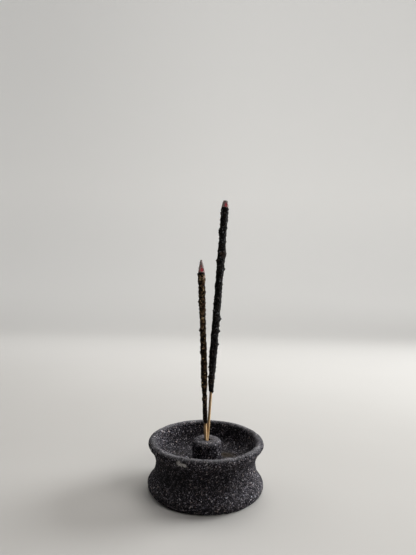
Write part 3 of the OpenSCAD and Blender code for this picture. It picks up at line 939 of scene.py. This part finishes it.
MATS = {
    "bamboo": bamboo_material(),
    "charcoal": paste_material("charcoal_paste", (0.0012, 0.0011, 0.0013), (0.046, 0.044, 0.046), (0.15, 0.145, 0.145), 0.05,
                               ((0.022, 0.013, 0.009), (0.065, 0.040, 0.026), (0.16, 0.105, 0.070))),
    "herb": paste_material("herb_paste", (0.0016, 0.0012, 0.0010), (0.055, 0.037, 0.025), (0.26, 0.17, 0.082), 0.05,
                           ((0.035, 0.019, 0.011), (0.115, 0.068, 0.034), (0.30, 0.20, 0.095))),
    # the grey, bluish-grey and brownish-grey shades among the near-black ones are painted glints
    "dark_resin": crumb_material("dark_resin", [(0.0012, 0.0011, 0.0012), (0.0020, 0.0018, 0.0020), (0.0014, 0.0013, 0.0014), (0.011, 0.010, 0.0105), (0.0014, 0.0013, 0.0014), (0.032, 0.030, 0.031),
                                                (0.0018, 0.0017, 0.0018), (0.0085, 0.008, 0.008), (0.0012, 0.0011, 0.0012), (0.095, 0.094, 0.099), (0.0030, 0.0028, 0.0030), (0.135, 0.137, 0.146),
                                                (0.0014, 0.0013, 0.0014), (0.034, 0.022, 0.015), (0.065, 0.048, 0.038)], 0.10, 0.35, 0.75),
    "amber_resin": crumb_material("amber_resin", [(0.0026, 0.0019, 0.0014), (0.045, 0.026, 0.013), (0.0020, 0.0015, 0.0012), (0.10, 0.058, 0.025), (0.010, 0.0075, 0.0055), (0.36, 0.23, 0.095), (0.0022, 0.0017, 0.0014),
                                                  (0.070, 0.040, 0.022), (0.022, 0.014, 0.009), (0.60, 0.45, 0.25), (0.0022, 0.0017, 0.0014), (0.24, 0.165, 0.115)], 0.12, 0.30, 0.65),
    "bark": crumb_material("bark_flakes", [(0.014, 0.009, 0.006), (0.075, 0.036, 0.020), (0.16, 0.098, 0.054), (0.008, 0.006, 0.005), (0.30, 0.20, 0.115), (0.040, 0.020, 0.014), (0.42, 0.30, 0.235)], 0.1, 0.6, 0.9),
    "ember": ember_material(),
    "ash": ash_material("ash_crust", (0.56, 0.48, 0.46), (0.33, 0.27, 0.26), (0.10, 0.078, 0.074), (0.42, 0.185, 0.17)),
    "spill": ash_material("ash_spill", (0.105, 0.095, 0.085), (0.052, 0.046, 0.039), (0.016, 0.014, 0.014), (0.085, 0.060, 0.036)),
}

tris = {}
tris["stone"] = stone()

core(LONG, "long_stick_core", "long_stick_bamboo", "long_stick", LONG_LEN - LONG_TIP, (4, 36), 101, LONG_BARE, 0.10, 0.0)
core(SHORT, "short_stick_core", "short_stick_bamboo", "short_stick", SHORT_LEN - SHORT_TIP, (12, 17), 131, SHORT_BARE, 0.22, -0.34)


def long_rag(t):
    # longer on the right side, with torn tongues
    q = np.c_[np.cos(t) * 2, np.sin(t) * 2, np.zeros_like(t)]
    return -1.5 * np.exp(-(((t - RT(335)) / RT(30)) ** 2)) + 0.7 * noise(q, 0.9, 3) + 0.35 * noise(q, 0.4, 4) - 0.2


def short_rag(t):
    q = np.c_[np.cos(t) * 2, np.sin(t) * 2, np.zeros_like(t)]
    return 0.8 * noise(q, 1.0, 13) + 0.35 * noise(q, 0.4, 14) - 0.1


paste(LONG, "long_stick_paste_rolled", "long_stick_paste", MATS["charcoal"], "long_stick", long_radius, LONG_BARE, LONG_LEN - LONG_TIP, long_rag,
      lambda s: 0.10 + 0.75 * np.exp(-(((s - 50.5) / 3.6) ** 2)) + 0.45 * np.exp(-(((s - 162) / 5) ** 2)), (199.0, 202.0))
paste(SHORT, "short_stick_paste_rolled", "short_stick_paste", MATS["herb"], "short_stick", short_radius, SHORT_BARE, SHORT_LEN - SHORT_TIP, short_rag,
      lambda s: np.interp(s, [14, 34, 35, 36.5, 38, 50, 60, 90, 100, 118, 124, 143], [0.0, 0.02, 1.0, 1.0, 0.45, 0.55, 0.25, 0.35, 0.75, 0.75, 0.55, 1.0]), (143.3, 145.2))

rng = np.random.default_rng(20)
face_long, face_short = math.pi, 0.0
spots = scatter(rng, 560, LONG_BARE + 1.5, LONG_LEN - LONG_TIP - 1.2, (0.34, 1.05), (0.5, 0.95), None, face_long, 88)
# the crumbs that nearly bridge the two sticks, and the bigger lumps
spots += [(62.8, RT(180), 0.75, 1.1, 0.25, 0.2, 2), (63.6, RT(188), 0.5, 0.9, 0.0, 0.4, 2), (54.4, RT(180), 0.72, 1.0, 0.1, 0.2, 2), (53.0, RT(196), 0.6, 0.9, 0.1, 0.95, 2),
          (50.6, RT(200), 0.75, 0.5, 0.2, 0.97, 2), (51.4, RT(240), 0.7, 0.5, 0.3, 0.95, 2), (49.6, RT(262), 0.6, 0.5, 0.3, 0.97, 2),
          (182.3, RT(190), 0.85, 0.9, 0.35, 0.1, 2), (180.9, RT(205), 0.8, 0.9, 0.35, 0.5, 2), (161.6, RT(356), 0.85, 0.7, 0.35, 0.97, 2), (163.4, RT(340), 0.7, 0.7, 0.35, 0.62, 2),
          (106.0, RT(358), 0.9, 0.9, 0.3, 0.1, 2), (104.9, RT(340), 0.8, 0.9, 0.35, 0.3, 2), (95.1, RT(4), 0.8, 0.9, 0.25, 0.1, 2), (149.5, RT(0), 0.7, 0.9, 0.3, 0.1, 2),
          (72.0, RT(182), 0.55, 0.9, 0.3, 0.1, 2), (84.2, RT(350), 0.75, 0.8, 0.35, 0.62, 2), (156.2, RT(180), 0.6, 0.8, 0.25, 0.3, 2)]
# lighter crumbs in grey, bluish-grey and brownish-grey shades: painted glints on the black paste
spots += [(183.4, RT(200), 0.75, 0.8, 0.25, 0.75, 3), (183.6, RT(256), 0.80, 0.8, 0.30, 0.75, 3), (174.6, RT(262), 0.85, 0.7, 0.35, 0.62, 3), (172.4, RT(268), 0.70, 0.8, 0.30, 0.75, 3),
          (164.1, RT(238), 0.95, 0.7, 0.30, 0.75, 3), (162.6, RT(345), 0.90, 0.8, 0.30, 0.95, 3), (161.0, RT(322), 0.75, 0.8, 0.30, 0.95, 3), (159.1, RT(253), 0.90, 0.7, 0.30, 0.62, 3),
          (148.4, RT(312), 0.80, 0.8, 0.30, 0.75, 3), (140.4, RT(277), 1.10, 0.5, 0.30, 0.62, 3), (138.6, RT(272), 0.95, 0.5, 0.30, 0.75, 3), (199.5, RT(318), 0.95, 0.5, 0.30, 0.62, 3),
          (124.0, RT(264), 0.80, 0.7, 0.30, 0.62, 3), (110.5, RT(255), 0.75, 0.7, 0.30, 0.62, 3), (98.0, RT(284), 0.85, 0.7, 0.30, 0.75, 3), (79.0, RT(250), 0.70, 0.8, 0.30, 0.62, 3)]
tris["long_grains"] = crumbs(LONG, "long_stick_grains", "long_stick_resin_grains", MATS["dark_resin"], "long_stick", long_radius, spots, 21)

rng = np.random.default_rng(30)
gold = lambda s: float(np.interp(s, [18, 34, 36, 38, 60, 95, 110, 145], [0.0, 0.05, 0.6, 0.35, 0.35, 0.55, 1.0, 1.0]))
spots = scatter(rng, 420, SHORT_BARE + 4, SHORT_LEN - SHORT_TIP - 2.2, (0.30, 0.88), (0.5, 0.95), gold, face_short, 88)
spots += [(35.4, RT(262), 0.5, 0.6, 0.2, 0.93, 2), (35.7, RT(285), 0.5, 0.6, 0.2, 0.93, 2), (35.2, RT(240), 0.42, 0.6, 0.2, 0.62, 2), (35.6, RT(310), 0.45, 0.6, 0.2, 0.62, 2),
          (120.4, RT(184), 0.7, 0.8, 0.25, 0.5, 2), (95.4, RT(184), 0.7, 0.9, 0.15, 0.5, 2), (76.5, RT(182), 0.45, 0.8, 0.1, 0.3, 2), (144.6, RT(184), 0.55, 0.8, 0.3, 0.1, 2)]
spots += [(130.5, RT(296), 0.85, 0.6, 0.25, 0.79, 3), (131.9, RT(284), 1.05, 0.6, 0.25, 0.45, 3), (106.1, RT(272), 1.00, 0.5, 0.25, 0.79, 3), (105.7, RT(248), 0.80, 0.6, 0.25, 0.45, 3),
          (139.4, RT(242), 0.95, 0.6, 0.25, 0.79, 3), (88.5, RT(290), 0.70, 0.6, 0.25, 0.45, 3), (71.0, RT(255), 0.70, 0.6, 0.25, 0.45, 3), (58.0, RT(280), 0.75, 0.6, 0.25, 0.79, 3)]
tris["short_grains"] = crumbs(SHORT, "short_stick_grains", "short_stick_resin_grains", MATS["amber_resin"], "short_stick", short_radius, spots, 31)

rng = np.random.default_rng(40)
spots = scatter(rng, 150, SHORT_BARE + 12, SHORT_LEN - SHORT_TIP - 2.6, (0.45, 1.15), (0.25, 0.45), gold, face_short, 88, 0.22)
spots += [(141.9, RT(238), 1.35, 0.35, 0.10, 0.64, 3), (141.6, RT(307), 1.60, 0.35, 0.10, 0.93, 3), (135.3, RT(286), 1.70, 0.35, 0.10, 0.20, 3), (134.0, RT(240), 1.2, 0.35, 0.10, 0.35, 3),
          (127.9, RT(256), 1.30, 0.35, 0.10, 0.80, 3), (122.8, RT(262), 1.50, 0.35, 0.10, 0.35, 3), (118.2, RT(280), 1.70, 0.35, 0.10, 0.20, 3), (113.0, RT(300), 1.2, 0.35, 0.10, 0.20, 3),
          (110.0, RT(262), 1.60, 0.35, 0.10, 0.35, 3), (102.6, RT(272), 1.30, 0.35, 0.10, 0.35, 3), (97.4, RT(262), 1.45, 0.35, 0.10, 0.35, 3), (96.0, RT(205), 0.9, 0.35, 0.10, 0.20, 3),
          (92.0, RT(290), 1.1, 0.35, 0.10, 0.20, 3), (80.0, RT(268), 1.1, 0.35, 0.10, 0.35, 3), (64.5, RT(275), 1.0, 0.35, 0.10, 0.20, 3), (47.0, RT(262), 1.0, 0.35, 0.10, 0.35, 3),
          (128.0, RT(95), 1.4, 0.35, 0.10, 0.64, 3), (112.0, RT(70), 1.4, 0.35, 0.10, 0.35, 3), (138.0, RT(100), 1.4, 0.35, 0.10, 0.93, 3), (98.0, RT(110), 1.2, 0.35, 0.10, 0.64, 3)]
tris["short_flakes"] = crumbs(SHORT, "short_stick_flakes", "short_stick_bark_flakes", MATS["bark"], "short_stick", short_radius, spots, 41)

s0 = LONG_LEN - LONG_TIP
glow(LONG, "long_stick_glow", "long_stick_ember", "long_stick", s0 - 0.3, LONG_TIP - 0.5, 2.45, 1.5, 51)
crust(LONG, "long_stick_crust", "long_stick_ash", "long_stick", s0 - 0.2, LONG_TIP - 0.2, LONG_TIP + 0.4, 2.48, 1.6, 0.52,
      [(284, 0.38, 30, 0.34), (96, 0.55, 34, 0.30), (170, 0.30, 14, 0.12), (20, 0.40, 20, 0.2)], 61, 1.75, 0.82)
s0 = SHORT_LEN - SHORT_TIP
glow(SHORT, "short_stick_glow", "short_stick_ember", "short_stick", s0 - 0.3, SHORT_TIP - 2.6, 2.35, 0.95, 55)
crust(SHORT, "short_stick_crust", "short_stick_ash", "short_stick", s0 - 0.2, SHORT_TIP + 0.2, SHORT_TIP - 2.7, 2.38, 1.0, 0.44,
      [(282, 0.20, 34, 0.17), (262, 0.50, 20, 0.09), (40, 0.3, 30, 0.14), (150, 0.42, 26, 0.14)], 65, 0.62, 0.93)
spill(np.random.default_rng(60))
print("triangles", tris)

# ---------------------------------------------------------------- floor, light, camera


def stage_surface():
    """A pale seamless floor that curves up into a softly lit backdrop."""
    prof = [(-1.6, 0.0)] + [(y, 0.0) for y in np.linspace(-0.1, 0.95, 22)]
    for i in range(1, 17):
        a = RT(90 * i / 16)
        prof.append((0.95 + 0.55 * math.sin(a), 0.55 * (1 - math.cos(a))))
    prof.append((1.5, 3.0))
    xs = np.r_[-3.0, np.linspace(-1.3, 1.3, 53), 3.0]
    V, F, G, H = [], [], [], []
    for y, z in prof:
        for x in xs:
            V.append((x, y, z))
            lift = float(0.74 * step(0.05, 0.85, np.array([y]))[0] + 0.26 * step(0.95, 1.35, np.array([y]))[0])
            G.append(lift)
            H.append(float(1.0 - 0.175 * step(0.3, -0.95, np.array([x]))[0] + 0.045 * step(0.1, 0.95, np.array([x]))[0]))
    n = len(xs)
    for k in range(len(prof) - 1):
        for j in range(n - 1):
            F.append((k * n + j, k * n + j + 1, (k + 1) * n + j + 1, (k + 1) * n + j))
    me = bpy.data.meshes.new("backdrop")
    me.from_pydata(V, [], F)
    for key, val in (("lift", G), ("across", H)):
        at = me.attributes.new(key, "FLOAT", "POINT")
        at.data.foreach_set("value", np.asarray(val, np.float32))
    me.polygons.foreach_set("use_smooth", [True] * len(F))
    ob = bpy.data.objects.new("backdrop", me)
    bpy.context.scene.collection.objects.link(ob)
    m = Mat("backdrop_paint")
    base = m.ramp(m.noise(3.0, 3, 0.5), [(0.3, (0.50, 0.485, 0.46)), (0.7, (0.52, 0.505, 0.48))])
    wash = m.mix(m.math("MULTIPLY", m.attr("lift"), m.attr("across")), (0.0, 0.0, 0.0), (1.0, 0.988, 0.958))
    me.materials.append(m.set(Base_Color=base, Roughness=0.9, Specular_IOR_Level=0.1, Emission_Color=wash, Emission_Strength=0.56))
    return ob


stage_surface()


def area(name, at, target, size, power, color, size_y=None, spread=180):
    li = bpy.data.lights.new(name, "AREA")
    li.spread = RT(spread)
    li.shape = "RECTANGLE"
    li.size, li.size_y = size, size_y or size
    li.energy = power
    li.color = color
    ob = bpy.data.objects.new(name, li)
    bpy.context.scene.collection.objects.link(ob)
    ob.location = at
    d = Vector(target) - Vector(at)
    ob.rotation_euler = d.to_track_quat("-Z", "Y").to_euler()
    return ob


area("window", (1.30, 0.55, 0.45), (0.0, 0.0, 0.05), 0.8, 7.9, (0.965, 0.985, 1.0), spread=80)
area("window_side", (1.0, -0.6, 1.0), (0.0, 0.0, 0.05), 0.8, 1.35, (1.0, 0.975, 0.965), spread=70)
area("room_back", (0.1, 0.55, 1.45), (0.0, 0.0, 0.05), 1.0, 2.0, (1.0, 0.992, 0.978), spread=70)
area("room_left", (-1.1, 0.6, 0.9), (0.0, 0.0, 0.05), 0.9, 0.75, (0.98, 0.98, 1.0), spread=80)

world = bpy.data.worlds.new("room")
bpy.context.scene.world = world
world.use_nodes = True
world.node_tree.nodes["Background"].inputs["Color"].default_value = (0.94, 0.96, 1.0, 1)
world.node_tree.nodes["Background"].inputs["Strength"].default_value = 0.006

cam = bpy.data.cameras.new("camera")
cam.sensor_fit = "AUTO"
cam.sensor_width = 36.0
cam.lens = 433.0 * 36.0 / 555.0
cam.clip_start = 0.01
cam.clip_end = 20
cob = bpy.data.objects.new("camera", cam)
bpy.context.scene.collection.objects.link(cob)
cob.location = (-1.0 * MM, -378.3 * MM, 182.0 * MM)
cob.rotation_euler = (math.pi / 2, -0.0187, 0)
bpy.context.scene.camera = cob

bpy.context.scene.view_settings.view_transform = "Standard"
bpy.context.scene.view_settings.look = "None"
